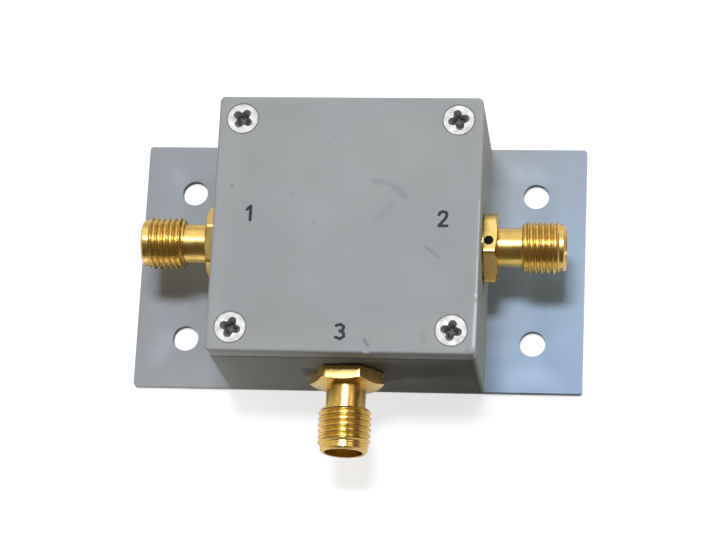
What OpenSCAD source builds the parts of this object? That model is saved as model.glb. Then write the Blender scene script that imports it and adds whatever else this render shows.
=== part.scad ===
// Coaxial mixer: a square screened box on a flat bracket, with three threaded coaxial jacks.
// Millimetres. Origin under the middle of the box, on the bracket's underside. +Z is up,
// the right-hand jack points along +X and the front jack along -Y.

/* [Box] */
// Side of the square box and of its cover
box_side = 31.75; // [29:0.25:44]
// Height of the box with its cover, above the bracket
box_h = 18.03; // [17:0.01:28]
// Radius of the upright corners
corner_r = 0.6; // [0.5:0.05:2.4]
// Radius along the cover's top edge
edge_r = 0.3; // [0.1:0.05:0.45]
// Thickness of the four walls
wall_t = 3.2; // [2.4:0.1:4]
// Thickness of the floor
floor_t = 3.2; // [2.8:0.1:4]

/* [Cover] */
// Thickness of the cover
cover_t = 2.4; // [1.8:0.1:3.5]
// Height of the lip that locates the cover in the box
lip_h = 0.8; // [0.4:0.1:1.2]
// Gap between that lip and the walls
lip_gap = 0.1; // [0.05:0.05:0.3]

/* [Cover screws] */
// Distance from the box's side to a screw's axis
screw_inset = 2.875; // [2.6:0.025:3.6]
// Radius of the corner bosses that take the screws
boss_r = 2.6; // [2.2:0.1:3]
// Diameter of the flat heads
head_d = 3.9; // [3.7:0.1:4.4]
// Diameter over the screw's thread
screw_d = 2.18; // [1.8:0.01:2.6]
// Length of a screw with its head
screw_l = 6.35; // [5:0.05:8]
// Length of the cross recess in a head
cross_l = 2.5; // [2:0.05:2.6]
// Width of the cross recess
cross_w = 0.75; // [0.5:0.05:0.9]
// Depth of the cross recess
cross_depth = 0.6; // [0.4:0.05:0.7]
// How far each screw ended turned: rear left, rear right, front right, front left
screw_turns = [55, 13, 79, 72]; // [0:1:90]

/* [Bracket] */
// Thickness of the plate
bracket_t = 1.02; // [1:0.01:3]
// How far each ear stands out past the box
ear_l = 11.9; // [10:0.05:16]
// How far the box stands out past the plate, at the front and at the rear
bracket_step = 0.15; // [0:0.05:0.5]
// Radius of the plate's corners
bracket_r = 0.4; // [0.3:0.1:3]
// Diameter of the mounting holes
ear_hole_d = 3.18; // [2.5:0.01:5]
// Distance from the ear's end to its holes
ear_hole_inset = 6.19; // [4:0.01:7]
// Distance between the two holes of an ear
ear_hole_pitch = 19.05; // [12:0.05:22]

/* [Bracket screws] */
// Distance between the two screws under the box
bracket_screw_pitch = 19.05; // [12:0.05:22]
// Diameter over the thread
bracket_screw_d = 1.85; // [1.8:0.01:2.4]
// Diameter of the head
bracket_head_d = 3.5; // [3.2:0.05:3.55]
// Length of a screw with its head
bracket_screw_l = 3.6; // [3.2:0.1:3.9]
// Length of the cross recess in a head, as wide and as deep as the cover screws'
bracket_cross_l = 2; // [1.6:0.1:2.1]
// How far both screws ended turned
bracket_screw_turn = 30; // [0:1:90]

/* [Jacks] */
// How far a jack stands out of its wall
jack_l = 9.9; // [8.8:0.1:12]
// Width of the hex flange across its flats
hex_af = 7.94; // [7.2:0.01:9]
// Thickness of the hex flange with its seat
flange_t = 1.8; // [1.6:0.1:2.4]
// Diameter of the round seat behind the hex
seat_d = 7.5; // [6.8:0.1:7.9]
// Thickness of that seat
seat_t = 0.15; // [0.05:0.05:0.2]
// Diameter of the plain neck
neck_d = 4.75; // [4.4:0.05:5.2]
// Length of the neck
neck_l = 2.9; // [2:0.05:4]
// Diameter over the thread
thread_d = 6.35; // [6:0.01:7]
// Diameter of the plain nose ahead of the thread
nose_d = 5.5; // [5.2:0.1:5.9]
// Length of that nose
nose_l = 0.75; // [0.4:0.05:1.2]
// Diameter of the mouth that takes the plug
mouth_d = 4.6; // [4.4:0.01:4.8]
// Depth of the mouth
mouth_l = 1.9; // [1.5:0.05:2.4]
// How far each jack ended turned: left, right, front
jack_turns = [224.2, 53.6, 243]; // [0:0.1:360]

/* [Jack insides] */
// Diameter of the insulator's front part
insulator_d = 4.1; // [3.8:0.05:4.3]
// Diameter of the insulator's rear part
insulator_rear_d = 3.3; // [2.8:0.1:3.7]
// Length of the insulator's front part
insulator_front_l = 2.4; // [1.6:0.1:2.6]
// Diameter of the centre contact
contact_d = 1.27; // [1.2:0.01:1.5]
// Diameter of the socket in the contact
socket_d = 0.94; // [0.85:0.01:1]
// Depth of the socket
socket_l = 2.6; // [2:0.1:3.5]
// Width of the slots between the contact's fingers
slot_w = 0.15; // [0.1:0.01:0.25]
// Length of those slots
slot_l = 2.3; // [1.6:0.1:3]
// Diameter of the solder tail
tail_d = 0.9; // [0.7:0.05:1.1]
// How far the solder tail reaches into the box
tail_l = 2.2; // [1.6:0.1:3]
// Diameter of the cross hole that holds the epoxy
epoxy_d = 1.15; // [0.8:0.05:1.2]
// Distance from the wall to the cross hole
epoxy_place = 0.8; // [0.8:0.05:1]
// Turn of the cross hole from a corner of the hex
epoxy_turn = 41.4; // [32:0.1:50]
// How deep the epoxy lies under the flat
epoxy_sink = 0.1; // [0.05:0.05:0.2]

/* [Board] */
// Thickness of the board
board_t = 0.8; // [0.6:0.1:1.6]
// Gap between the board and the walls
board_gap = 0.6; // [0.3:0.1:1]
// Thickness of the copper tracks
track_t = 0.1; // [0.05:0.05:0.2]
// Width of the copper tracks
track_w = 1.6; // [1:0.1:2.4]
// Gap between a track's end and the board's edge
track_inset = 0.3; // [0.1:0.1:1]
// Distance from a corner boss's axis to a pedestal's, along each side
pedestal_inset = 4.4; // [4:0.1:5.2]
// Radius of the pedestals
pedestal_r = 1.8; // [1.4:0.1:2.2]
// Diameter over the board screw's thread
board_screw_d = 1.52; // [1.2:0.02:1.8]
// Diameter of the board screw's head
board_head_d = 2.8; // [2.4:0.1:3]
// Height of the board screw's head
board_head_h = 0.9; // [0.6:0.1:1.4]
// Length of a board screw under its head
board_screw_l = 3.2; // [2.5:0.1:3.6]
// Width of the slot in the board screw's head
driver_slot_w = 0.4; // [0.3:0.05:0.6]
// Depth of that slot
driver_slot_depth = 0.45; // [0.3:0.05:0.5]

/* [Transformers] */
// Outer diameter of a core
core_d = 4; // [3.4:0.1:4.2]
// Diameter of the hole in a core
core_hole_d = 2; // [1.8:0.1:2.4]
// Height of a core
core_h = 2; // [1.4:0.1:3]
// Diameter of the winding wire
wire_d = 0.3; // [0.2:0.05:0.35]
// Turns of wire on a core
turns = 10; // [6:2:12]
// Length of a winding's lead
lead_l = 0.8; // [0.7:0.05:0.9]

/* [Diode ring] */
// Side of the square package
quad_side = 2.4; // [2:0.1:2.8]
// Height of the package
quad_h = 1.1; // [0.8:0.1:1.6]
// Width of a ribbon lead
ribbon_w = 0.5; // [0.3:0.05:0.8]
// Thickness of a ribbon lead
ribbon_t = 0.12; // [0.08:0.02:0.2]
// Length of a ribbon lead
ribbon_l = 1; // [0.8:0.05:1.1]

/* [Solder] */
// Radius of the solder under a jack's tail
tail_solder_r = 0.8; // [0.7:0.05:1]
// Height of that solder
tail_solder_h = 0.7; // [0.55:0.05:0.8]
// Radius of the solder under a winding's lead
lead_solder_r = 0.33; // [0.28:0.01:0.4]
// Height of that solder
lead_solder_h = 0.25; // [0.2:0.01:0.3]

/* [Hidden] */
$fn = 64;

// Overlap of a cutting shape past the face it cuts
cut = 1;
// Radial gap between threads, and between parts pushed together
thread_gap = 0.01;
press_gap = 0.01;
// Radial gap round a flat head, and round a screw that passes through the board
head_gap = 0.05;
board_hole_gap = 0.1;
// Room past the end of a screw in a boss or pedestal, and in the box's floor
hole_spare = 0.8;
floor_hole_spare = 0.2;
// Room between the end of a jack's root thread and the inside of its wall
root_gap = 0.2;
// Gap between the winding wire and its core
wire_gap = 0.02;
// Solder between a wire and its track, and gap between the package and the tracks' ends
solder_film = 0.05;
quad_gap = 0.1;
// Half the included angle of a flat head
head_angle = 41;
// Edge breaks on threads, on the hex's back and at the mouth of a jack
break_c = 0.25;
// Slope of the hex's turned corners, and how far their circle lies inside the flats
hex_slope = 25;
hex_turned = 0.1;
// Directions of the four corners: rear left, rear right, front right, front left
corners = [[-1, 1], [1, 1], [1, -1], [-1, -1]];

box_z = bracket_t;
floor_z = box_z + floor_t;
rim_z = box_z + box_h - cover_t;
top_z = rim_z + cover_t;
jack_z = box_z + box_h / 2;
half_side = box_side / 2;
cavity_side = box_side - 2 * wall_t;
screw_place = half_side - screw_inset;
screw_hole_l = screw_l - cover_t + hole_spare;

bracket_l = box_side + 2 * ear_l;
bracket_w = box_side - 2 * bracket_step;
ear_hole_x = bracket_l / 2 - ear_hole_inset;
bracket_hole_l = bracket_screw_l - bracket_t + floor_hole_spare;

root_l = wall_t - root_gap;
nose_z = jack_l - nose_l;
thread_z = flange_t + neck_l;
mouth_z = jack_l - mouth_l;
step_z = mouth_z - insulator_front_l;
hex_r = hex_af / 2 / cos(30);
hex_face_r = hex_af / 2 - hex_turned;
contact_r = contact_d / 2 + press_gap;

board_side = cavity_side - 2 * board_gap;
track_z = jack_z - tail_d / 2 - solder_film;
board_z = track_z - track_t;
board_under_z = board_z - board_t;
pedestal_place = screw_place - pedestal_inset;
pedestal_hole_l = board_screw_l - board_t + hole_spare;
track_end = board_side / 2 - track_inset;

// A core stands midway between the package's ribbon and the tip of the jack's tail
tail_tip = cavity_side / 2 - tail_l;
core_place = (quad_side / 2 + ribbon_l + tail_tip) / 2;
core_z = board_z + wire_d + wire_gap;
winding_r = core_d / 2 + wire_gap + wire_d;
wire_z = track_z + solder_film + wire_d / 2;

// Square outline with round corners
module round_square(side, r) {
    square([side, side - 2 * r], center = true);
    square([side - 2 * r, side], center = true);
    for (corner = corners)
        translate(corner * (side / 2 - r))
            circle(r);
}

// Section through a plate's rim, from a corner's axis outwards, with its top edge rounded
module rim_section(reach, h, r) {
    square([reach - r, h]);
    square([reach, h - r]);
    translate([reach - r, h - r])
        circle(r);
}

// Square plate whose upright corners and top edge are round
module soft_plate(side, h, upright_r, top_r) {
    half_core = side / 2 - upright_r;
    translate([-half_core, -half_core, 0])
        cube([2 * half_core, 2 * half_core, h]);
    for (quarter = [0:3])
        rotate([0, 0, 90 * quarter])
            translate([half_core, half_core, 0]) {
                rotate_extrude(angle = 90)
                    rim_section(upright_r, h, top_r);
                rotate([90, 0, 0])
                    linear_extrude(2 * half_core)
                        rim_section(upright_r, h, top_r);
            }
}

// Puts its children at the four corners of a square
module at_corners(place) {
    for (corner = corners)
        translate([corner[0] * place, corner[1] * place, 0])
            children();
}

// Puts its children at the two screws that hold the bracket
module at_bracket_screws() {
    for (y = [-1, 1])
        translate([0, y * bracket_screw_pitch / 2, 0])
            children();
}

// Puts its children on a wall, with local +Z along the jack's axis, outwards
module on_left_wall() {
    translate([-half_side, 0, jack_z])
        rotate([90, 0, -90])
            children();
}

module on_right_wall() {
    translate([half_side, 0, jack_z])
        rotate([90, 0, 90])
            children();
}

module on_front_wall() {
    translate([0, -half_side, jack_z])
        rotate([90, 0, 0])
            children();
}

// Height of the cone under a flat head
function cone_h(thread, head) = (head - thread) / 2 / tan(head_angle);

// Flat-head screw with its head's face at z = 0, pointing down, and a cross as long as recess
module flat_screw(length, thread, head, recess, turn) {
    difference() {
        rotate_extrude()
            polygon([[0, 0], [head / 2, 0], [thread / 2, -cone_h(thread, head)],
                [thread / 2, -length + break_c], [thread / 2 - break_c, -length], [0, -length]]);
        for (wing = [0, 90])
            rotate([0, 0, turn + wing])
                translate([-recess / 2, -cross_w / 2, -cross_depth])
                    cube([recess, cross_w, cross_depth + cut]);
    }
}

// Hole for a flat-head screw, open at z = 0
module flat_screw_hole(depth, thread, head) {
    translate([0, 0, -depth])
        cylinder(h = depth, d = thread + 2 * thread_gap);
    rotate_extrude()
        polygon([[0, 0], [head / 2 + head_gap, 0],
            [thread / 2 + head_gap, -cone_h(thread, head)], [0, -cone_h(thread, head)]]);
    cylinder(h = cut, r = head / 2 + head_gap);
}

// Tapped hole through a wall, at the thread's outer diameter
module wall_thread() {
    translate([0, 0, -wall_t - cut])
        cylinder(h = wall_t + 2 * cut, d = thread_d + 2 * thread_gap);
}

// Square box, open at the top, with a boss in each corner and four pedestals on its floor
module housing() {
    color("#a3a8a6")
        difference() {
            translate([0, 0, box_z])
                linear_extrude(rim_z - box_z)
                    round_square(box_side, corner_r);
            difference() {
                translate([-cavity_side / 2, -cavity_side / 2, floor_z])
                    cube([cavity_side, cavity_side, box_h]);
                translate([0, 0, floor_z - cut]) {
                    at_corners(screw_place)
                        cylinder(h = box_h + 2 * cut, r = boss_r);
                    at_corners(pedestal_place)
                        cylinder(h = board_under_z - floor_z + cut, r = pedestal_r);
                }
            }
            at_corners(screw_place)
                translate([0, 0, rim_z - screw_hole_l])
                    cylinder(h = screw_hole_l + cut, d = screw_d + 2 * thread_gap);
            at_corners(pedestal_place)
                translate([0, 0, board_under_z - pedestal_hole_l])
                    cylinder(h = pedestal_hole_l + cut, d = board_screw_d + 2 * thread_gap);
            at_bracket_screws()
                translate([0, 0, box_z - cut])
                    cylinder(h = bracket_hole_l + cut, d = bracket_screw_d + 2 * thread_gap);
            on_left_wall()
                wall_thread();
            on_right_wall()
                wall_thread();
            on_front_wall()
                wall_thread();
        }
}

// Cover with a round top edge, four countersunk holes and a lip that drops into the box
module cover_plate() {
    lip_side = cavity_side - 2 * lip_gap;
    color("#a9aeac")
        difference() {
            union() {
                translate([0, 0, rim_z])
                    soft_plate(box_side, cover_t, corner_r, edge_r);
                difference() {
                    translate([-lip_side / 2, -lip_side / 2, rim_z - lip_h])
                        cube([lip_side, lip_side, lip_h + cut]);
                    translate([0, 0, rim_z - lip_h - cut])
                        at_corners(screw_place)
                            cylinder(h = lip_h + cut, r = boss_r + lip_gap);
                }
            }
            translate([0, 0, top_z])
                at_corners(screw_place)
                    flat_screw_hole(cover_t + lip_h + cut, screw_d, head_d);
        }
}

// Four flat-head screws, flush with the cover
module cover_screws() {
    color("#e4e6e6")
        for (corner = [0:3])
            translate([corners[corner][0] * screw_place, corners[corner][1] * screw_place, top_z])
                flat_screw(screw_l, screw_d, head_d, cross_l, screw_turns[corner]);
}

// Outline of the bracket, nearly as wide as the box and longer by its two ears
module bracket_outline() {
    square([bracket_l, bracket_w - 2 * bracket_r], center = true);
    square([bracket_l - 2 * bracket_r, bracket_w], center = true);
    for (corner = corners)
        translate([corner[0] * (bracket_l / 2 - bracket_r), corner[1] * (bracket_w / 2 - bracket_r)])
            circle(bracket_r);
}

// Flat plate with two holes in each ear and two countersunk holes under the box
module mounting_bracket() {
    color("#a9b0b6")
        difference() {
            linear_extrude(bracket_t)
                bracket_outline();
            for (corner = corners)
                translate([corner[0] * ear_hole_x, corner[1] * ear_hole_pitch / 2, -cut])
                    cylinder(h = bracket_t + 2 * cut, d = ear_hole_d);
            at_bracket_screws()
                rotate([180, 0, 0])
                    flat_screw_hole(bracket_t + cut, bracket_screw_d, bracket_head_d);
        }
}

// Two flat-head screws that hold the bracket from below
module bracket_screws() {
    color("#d8dadb")
        at_bracket_screws()
            rotate([180, 0, 0])
                flat_screw(bracket_screw_l, bracket_screw_d, bracket_head_d, bracket_cross_l,
                    bracket_screw_turn);
}

// Hexagon with the corners of its outer face turned off
module hex_flange() {
    turned_r = hex_r + cut;
    intersection() {
        translate([0, 0, seat_t])
            cylinder(h = flange_t - seat_t, r = hex_r, $fn = 6);
        rotate_extrude()
            polygon([[0, 0], [turned_r, 0],
                [turned_r, flange_t - (turned_r - hex_face_r) * tan(hex_slope)],
                [hex_face_r, flange_t], [0, flange_t]]);
    }
}

// Cross hole through the flange, from the contact out through a flat
module epoxy_hole() {
    rotate([0, 0, epoxy_turn])
        translate([0, 0, epoxy_place])
            rotate([0, 90, 0])
                cylinder(h = hex_r + cut, d = epoxy_d);
}

// Turned body of a jack: root thread, hex flange on a round seat, neck, thread and nose
module jack_body(turn) {
    color("#d9b24a")
        rotate([0, 0, turn])
            difference() {
                union() {
                    rotate_extrude()
                        polygon([[0, -root_l], [thread_d / 2 - break_c, -root_l],
                            [thread_d / 2, -root_l + break_c], [thread_d / 2, 0],
                            [seat_d / 2, 0], [seat_d / 2, seat_t],
                            [neck_d / 2, flange_t - break_c], [neck_d / 2, thread_z],
                            [thread_d / 2 - break_c, thread_z], [thread_d / 2, thread_z + break_c],
                            [thread_d / 2, nose_z - break_c], [nose_d / 2, nose_z],
                            [nose_d / 2, jack_l - break_c], [nose_d / 2 - break_c, jack_l],
                            [0, jack_l]]);
                    hex_flange();
                }
                rotate_extrude()
                    polygon([[0, -root_l - cut], [insulator_rear_d / 2 + press_gap, -root_l - cut],
                        [insulator_rear_d / 2 + press_gap, step_z],
                        [insulator_d / 2 + press_gap, step_z],
                        [insulator_d / 2 + press_gap, mouth_z], [mouth_d / 2, mouth_z],
                        [mouth_d / 2, jack_l + cut], [0, jack_l + cut]]);
                epoxy_hole();
            }
}

// Stepped insulator
module jack_dielectric(turn) {
    color("#f2efe6")
        rotate([0, 0, turn])
            difference() {
                rotate_extrude()
                    polygon([[contact_r, -root_l], [insulator_rear_d / 2, -root_l],
                        [insulator_rear_d / 2, step_z + press_gap],
                        [insulator_d / 2, step_z + press_gap], [insulator_d / 2, mouth_z],
                        [contact_r, mouth_z]]);
                epoxy_hole();
            }
}

// Centre contact: socket with four fingers in front, solder tail behind
module jack_contact() {
    color("#e0bd5c")
        difference() {
            rotate_extrude()
                polygon([[0, -wall_t - tail_l], [tail_d / 2, -wall_t - tail_l],
                    [tail_d / 2, -root_l], [contact_d / 2, -root_l], [contact_d / 2, mouth_z],
                    [0, mouth_z]]);
            translate([0, 0, mouth_z - socket_l])
                cylinder(h = socket_l + cut, d = socket_d);
            for (slot = [0, 90])
                rotate([0, 0, slot])
                    translate([-contact_d, -slot_w / 2, mouth_z - slot_l])
                        cube([2 * contact_d, slot_w, slot_l + cut]);
        }
}

// Epoxy that fills the cross hole and locks the insulator and contact.
// It stops just short of the flat, which lies aslant to the hole.
module jack_epoxy(turn) {
    slant = epoxy_turn - 30;
    reach = hex_af / 2 / cos(slant) - epoxy_d / 2 * tan(abs(slant)) - epoxy_sink;
    color("#1d1d1b")
        rotate([0, 0, turn + epoxy_turn])
            translate([0, 0, epoxy_place])
                difference() {
                    rotate([0, 90, 0])
                        cylinder(h = reach, d = epoxy_d - 2 * press_gap);
                    translate([0, 0, -epoxy_d])
                        cylinder(h = 2 * epoxy_d, r = contact_r);
                }
}

// Board with its corners cut round the bosses
module circuit_board() {
    color("#2f6b4a")
        difference() {
            translate([-board_side / 2, -board_side / 2, board_under_z])
                cube([board_side, board_side, board_t]);
            translate([0, 0, board_under_z - cut]) {
                at_corners(screw_place)
                    cylinder(h = board_t + 2 * cut, r = boss_r + board_gap / 2);
                at_corners(pedestal_place)
                    cylinder(h = board_t + 2 * cut, r = board_screw_d / 2 + board_hole_gap);
            }
        }
}

// Straight track that runs outwards from near the board's middle
module track(from, to) {
    translate([from, -track_w / 2, board_z])
        cube([to - from, track_w, track_t]);
}

// Copper tracks: in two pieces to each side, past a transformer, and in one to front and rear
module board_tracks() {
    quad_end = quad_side / 2 + quad_gap;
    color("#c07a45") {
        for (side = [0, 180])
            rotate([0, 0, side]) {
                track(quad_end, core_place - winding_r);
                track(core_place + winding_r, track_end);
            }
        for (end = [-90, 90])
            rotate([0, 0, end])
                track(quad_end, track_end);
    }
}

// Four slotted pan-head screws through the board into the pedestals
module board_screws() {
    color("#d8dadb")
        at_corners(pedestal_place)
            translate([0, 0, board_z])
                difference() {
                    union() {
                        translate([0, 0, -board_screw_l])
                            cylinder(h = board_screw_l + board_head_h, d = board_screw_d);
                        cylinder(h = board_head_h, d = board_head_d);
                    }
                    translate([-board_head_d, -driver_slot_w / 2, board_head_h - driver_slot_depth])
                        cube([2 * board_head_d, driver_slot_w, driver_slot_depth + cut]);
                }
}

// Ferrite ring of a transformer
module core(side) {
    color("#3a3a3c")
        translate([side * core_place, 0, core_z])
            difference() {
                cylinder(h = core_h, d = core_d);
                translate([0, 0, -cut])
                    cylinder(h = core_h + 2 * cut, d = core_hole_d);
            }
}

// One turn of wire seen end on: a frame round the limb, with round outer corners
module wire_loop(width, height) {
    difference() {
        union() {
            translate([-wire_d, 0])
                square([width + 2 * wire_d, height]);
            translate([0, -wire_d])
                square([width, height + 2 * wire_d]);
            for (x = [0, width], y = [0, height])
                translate([x, y])
                    circle(wire_d);
        }
        square([width, height]);
    }
}

// Turns of wire round a core, with a lead to each side
module winding(side) {
    limb = (core_d - core_hole_d) / 2 + 2 * wire_gap;
    color("#a5461f")
        translate([side * core_place, 0, 0]) {
            for (turn = [0:turns - 1])
                rotate([0, 0, 360 * turn / turns])
                    translate([core_hole_d / 2 - wire_gap, wire_d / 2, core_z - wire_gap])
                        rotate([90, 0, 0])
                            linear_extrude(wire_d)
                                wire_loop(limb, core_h + 2 * wire_gap);
            for (lead = [0, 180])
                rotate([0, 0, lead])
                    translate([winding_r - wire_d, 0, wire_z])
                        rotate([0, 90, 0])
                            cylinder(h = wire_d + lead_l, d = wire_d);
        }
}

// Square package of the four diodes
module diode_quad() {
    color("#26282b")
        translate([-quad_side / 2, -quad_side / 2, track_z])
            cube([quad_side, quad_side, quad_h]);
}

// Ribbon leads on the package's four sides
module diode_leads() {
    color("#d8b863")
        for (quarter = [0:3])
            rotate([0, 0, 90 * quarter])
                translate([quad_side / 2, -ribbon_w / 2, track_z])
                    cube([ribbon_l, ribbon_w, ribbon_t]);
}

// Cap of a sphere that stands on the tracks, with a wire along X pressed into it
module solder_mound(foot_r, height, place, wire, axis_z) {
    ball_r = (foot_r * foot_r + height * height) / 2 / height;
    difference() {
        intersection() {
            translate([place, 0, track_z + height - ball_r])
                sphere(ball_r);
            translate([place - foot_r - cut, -foot_r - cut, track_z])
                cube([2 * (foot_r + cut), 2 * (foot_r + cut), height + cut]);
        }
        translate([place - foot_r - cut, 0, axis_z])
            rotate([0, 90, 0])
                cylinder(h = 2 * (foot_r + cut), d = wire + 2 * press_gap);
    }
}

// Solder under the jacks' tails and under the windings' leads
module solder_joints() {
    color("#c9ccd0") {
        for (wall = [180, 0, -90])
            rotate([0, 0, wall])
                solder_mound(tail_solder_r, tail_solder_h, tail_tip + tail_solder_r, tail_d, jack_z);
        for (side = [-1, 1], lead = [-1, 1])
            solder_mound(lead_solder_r, lead_solder_h,
                side * core_place + lead * (winding_r + lead_l - lead_solder_r), wire_d, wire_z);
    }
}

module lo_jack_body() { on_left_wall() jack_body(jack_turns[0]); }
module lo_jack_dielectric() { on_left_wall() jack_dielectric(jack_turns[0]); }
module lo_jack_contact() { on_left_wall() jack_contact(); }
module lo_jack_epoxy() { on_left_wall() jack_epoxy(jack_turns[0]); }
module rf_jack_body() { on_right_wall() jack_body(jack_turns[1]); }
module rf_jack_dielectric() { on_right_wall() jack_dielectric(jack_turns[1]); }
module rf_jack_contact() { on_right_wall() jack_contact(); }
module rf_jack_epoxy() { on_right_wall() jack_epoxy(jack_turns[1]); }
module if_jack_body() { on_front_wall() jack_body(jack_turns[2]); }
module if_jack_dielectric() { on_front_wall() jack_dielectric(jack_turns[2]); }
module if_jack_contact() { on_front_wall() jack_contact(); }
module if_jack_epoxy() { on_front_wall() jack_epoxy(jack_turns[2]); }
module lo_core() { core(-1); }
module rf_core() { core(1); }
module lo_winding() { winding(-1); }
module rf_winding() { winding(1); }

housing();
cover_plate();
cover_screws();
mounting_bracket();
bracket_screws();
lo_jack_body();
lo_jack_dielectric();
lo_jack_contact();
lo_jack_epoxy();
rf_jack_body();
rf_jack_dielectric();
rf_jack_contact();
rf_jack_epoxy();
if_jack_body();
if_jack_dielectric();
if_jack_contact();
if_jack_epoxy();
circuit_board();
board_tracks();
board_screws();
lo_core();
lo_winding();
rf_core();
rf_winding();
diode_quad();
diode_leads();
solder_joints();
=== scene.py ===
# %% [markdown]
# A coaxial mixer: a grey screened box with gold jacks
#
# The box, its cover, its bracket and every inner piece come from the CAD model. This script gives
# them their finish, cuts real threads and real screw recesses, and sets the light and the camera.
# Blender counts in metres, but the part's own sizes are written in millimetres here and multiplied
# by MM. The frame is the CAD model's own: +Z is up and the front jack points along -Y.

# %% Load the CAD frame
import math
import bmesh
import bpy
from mathutils import Matrix, Vector


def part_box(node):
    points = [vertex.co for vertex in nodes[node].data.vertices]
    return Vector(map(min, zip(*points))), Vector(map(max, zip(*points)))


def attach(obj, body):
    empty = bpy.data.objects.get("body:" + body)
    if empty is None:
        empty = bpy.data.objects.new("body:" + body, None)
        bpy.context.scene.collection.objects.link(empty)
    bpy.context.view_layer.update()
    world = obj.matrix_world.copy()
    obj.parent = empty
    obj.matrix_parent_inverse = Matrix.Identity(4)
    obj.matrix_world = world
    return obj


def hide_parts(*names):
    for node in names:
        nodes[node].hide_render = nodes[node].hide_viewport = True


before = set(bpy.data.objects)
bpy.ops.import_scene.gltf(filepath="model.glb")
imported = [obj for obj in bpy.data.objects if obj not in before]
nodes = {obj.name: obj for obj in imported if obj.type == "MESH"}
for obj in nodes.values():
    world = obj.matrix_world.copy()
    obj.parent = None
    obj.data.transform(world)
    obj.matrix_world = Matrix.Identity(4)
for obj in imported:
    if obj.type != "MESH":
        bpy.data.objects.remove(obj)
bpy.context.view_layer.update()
MM = 0.001
TURN = 2 * math.pi
WALL_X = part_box("housing")[1].x / MM
RIM_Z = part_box("housing")[1].z / MM
COVER_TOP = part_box("cover_plate")[1].z / MM
print("CAD nodes:", len(nodes), "side and height, mm:", round(2 * WALL_X, 2), round(COVER_TOP, 2))

# %% [markdown]
# The camera
#
# The photograph was taken from above and a little in front, with a long lens, so the box's sides
# hardly taper. The camera could be placed by eye, but here its place was found by matching the
# box's corners, so each edge falls where it does in the photograph.

# %% Camera
LENS, SENSOR_WIDTH = 129.207, 36.0
CAMERA_PLACE = Vector((36.434, -92.860, 305.652)) * MM
CAMERA_TARGET = Vector((1.792, -5.809, COVER_TOP)) * MM
CAMERA_ROLL = 2.761


def new_object(name, data):
    """An object with this data, linked into the scene."""
    made = bpy.data.objects.new(name, data)
    bpy.context.scene.collection.objects.link(made)
    return made


def aim(thing, place, target, roll=0.0):
    """Stands a camera or a lamp at place, looks at target with +Y up in the picture, and rolls it."""
    forward = (target - place).normalized()
    right = forward.cross(Vector((0, 1, 0))).normalized()
    up = right.cross(forward)
    turn = Matrix((right, up, -forward)).transposed().to_4x4()
    thing.matrix_world = Matrix.Translation(place) @ turn @ Matrix.Rotation(roll, 4, "Z")


camera = new_object("camera", bpy.data.cameras.new("camera"))
camera.data.lens = LENS
camera.data.sensor_width = SENSOR_WIDTH
aim(camera, CAMERA_PLACE, CAMERA_TARGET, math.radians(CAMERA_ROLL))
bpy.context.scene.camera = camera
print("camera distance, mm:", round((CAMERA_PLACE - CAMERA_TARGET).length / MM, 1))

# %% [markdown]
# Node helpers
#
# Materials and Geometry Nodes are both trees of nodes, and building one by hand in code repeats the
# same few lines. Four helpers take them up: one fills a socket, one adds a node, one does a sum and
# one starts a group with named inputs. The rest of the script then reads like the drawn tree.

# %% Node helpers
def give(tree, socket, value):
    """Gives an input a plain value, or a link where the value is another node's socket."""
    if isinstance(value, bpy.types.NodeSocket):
        tree.links.new(value, socket)
    else:
        socket.default_value = value


def add(tree, kind, inputs=None, **settings):
    """Adds a node, sets its settings, and gives its inputs their values or links."""
    node = tree.nodes.new(kind)
    for name, value in settings.items():
        setattr(node, name, value)
    for name, value in (inputs or {}).items():
        give(tree, node.inputs[name], value)
    return node


def calculate(tree, operation, *values, **settings):
    """The result of a Math node on one, two or three values or sockets."""
    node = add(tree, "ShaderNodeMath", dict(enumerate(values)), operation=operation, **settings)
    return node.outputs[0]


def new_tree(name, kind, inputs, outputs):
    """A node group with named inputs and outputs; returns it with the sockets that its user fills."""
    tree = bpy.data.node_groups.new(name, kind)
    for in_out, sockets in (("INPUT", inputs), ("OUTPUT", outputs)):
        for socket_name, socket_kind in sockets.items():
            tree.interface.new_socket(socket_name, in_out=in_out, socket_type="NodeSocket" + socket_kind)
    given = add(tree, "NodeGroupInput").outputs
    print("tree", name, "takes", list(inputs), "and gives", list(outputs))
    return tree, given


print("Blender's version:", bpy.app.version_string)

# %% [markdown]
# Colours and small shader helpers
#
# Every finish below is a Principled shader with a little noise in its colour, gloss and height,
# because no real surface is one flat value. A picture texture could do that too, but noise has no
# edges, needs no file and keeps its size in millimetres when the part is turned or reused.

# %% Shader helpers
MIX_FIRST, MIX_SECOND, MIX_RESULT = 6, 7, 2    # the Mix node's colour sockets, by number


def seen(red, green, blue):
    """A colour as it is read off a screen, 0 to 255, turned into the linear values of a shader."""
    shares = [value / 255 for value in (red, green, blue)]
    return [s / 12.92 if s <= 0.04045 else ((s + 0.055) / 1.055) ** 2.4 for s in shares]


def new_finish(name, colour, roughness, metallic=0.0):
    """A Principled material; returns it with its tree, its shader and its object coordinates."""
    material = bpy.data.materials.new(name)
    material.use_nodes = True
    tree = material.node_tree
    shader = tree.nodes["Principled BSDF"]
    shader.inputs["Base Color"].default_value = (*colour, 1)
    shader.inputs["Roughness"].default_value = roughness
    shader.inputs["Metallic"].default_value = metallic
    where = add(tree, "ShaderNodeTexCoord").outputs["Object"]
    return material, tree, shader, where


def grain(tree, where, size, detail=3.0):
    """Noise whose blobs are about size millimetres across."""
    return add(tree, "ShaderNodeTexNoise",
               {"Vector": where, "Scale": 1 / (size * MM), "Detail": detail}).outputs["Fac"]


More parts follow.
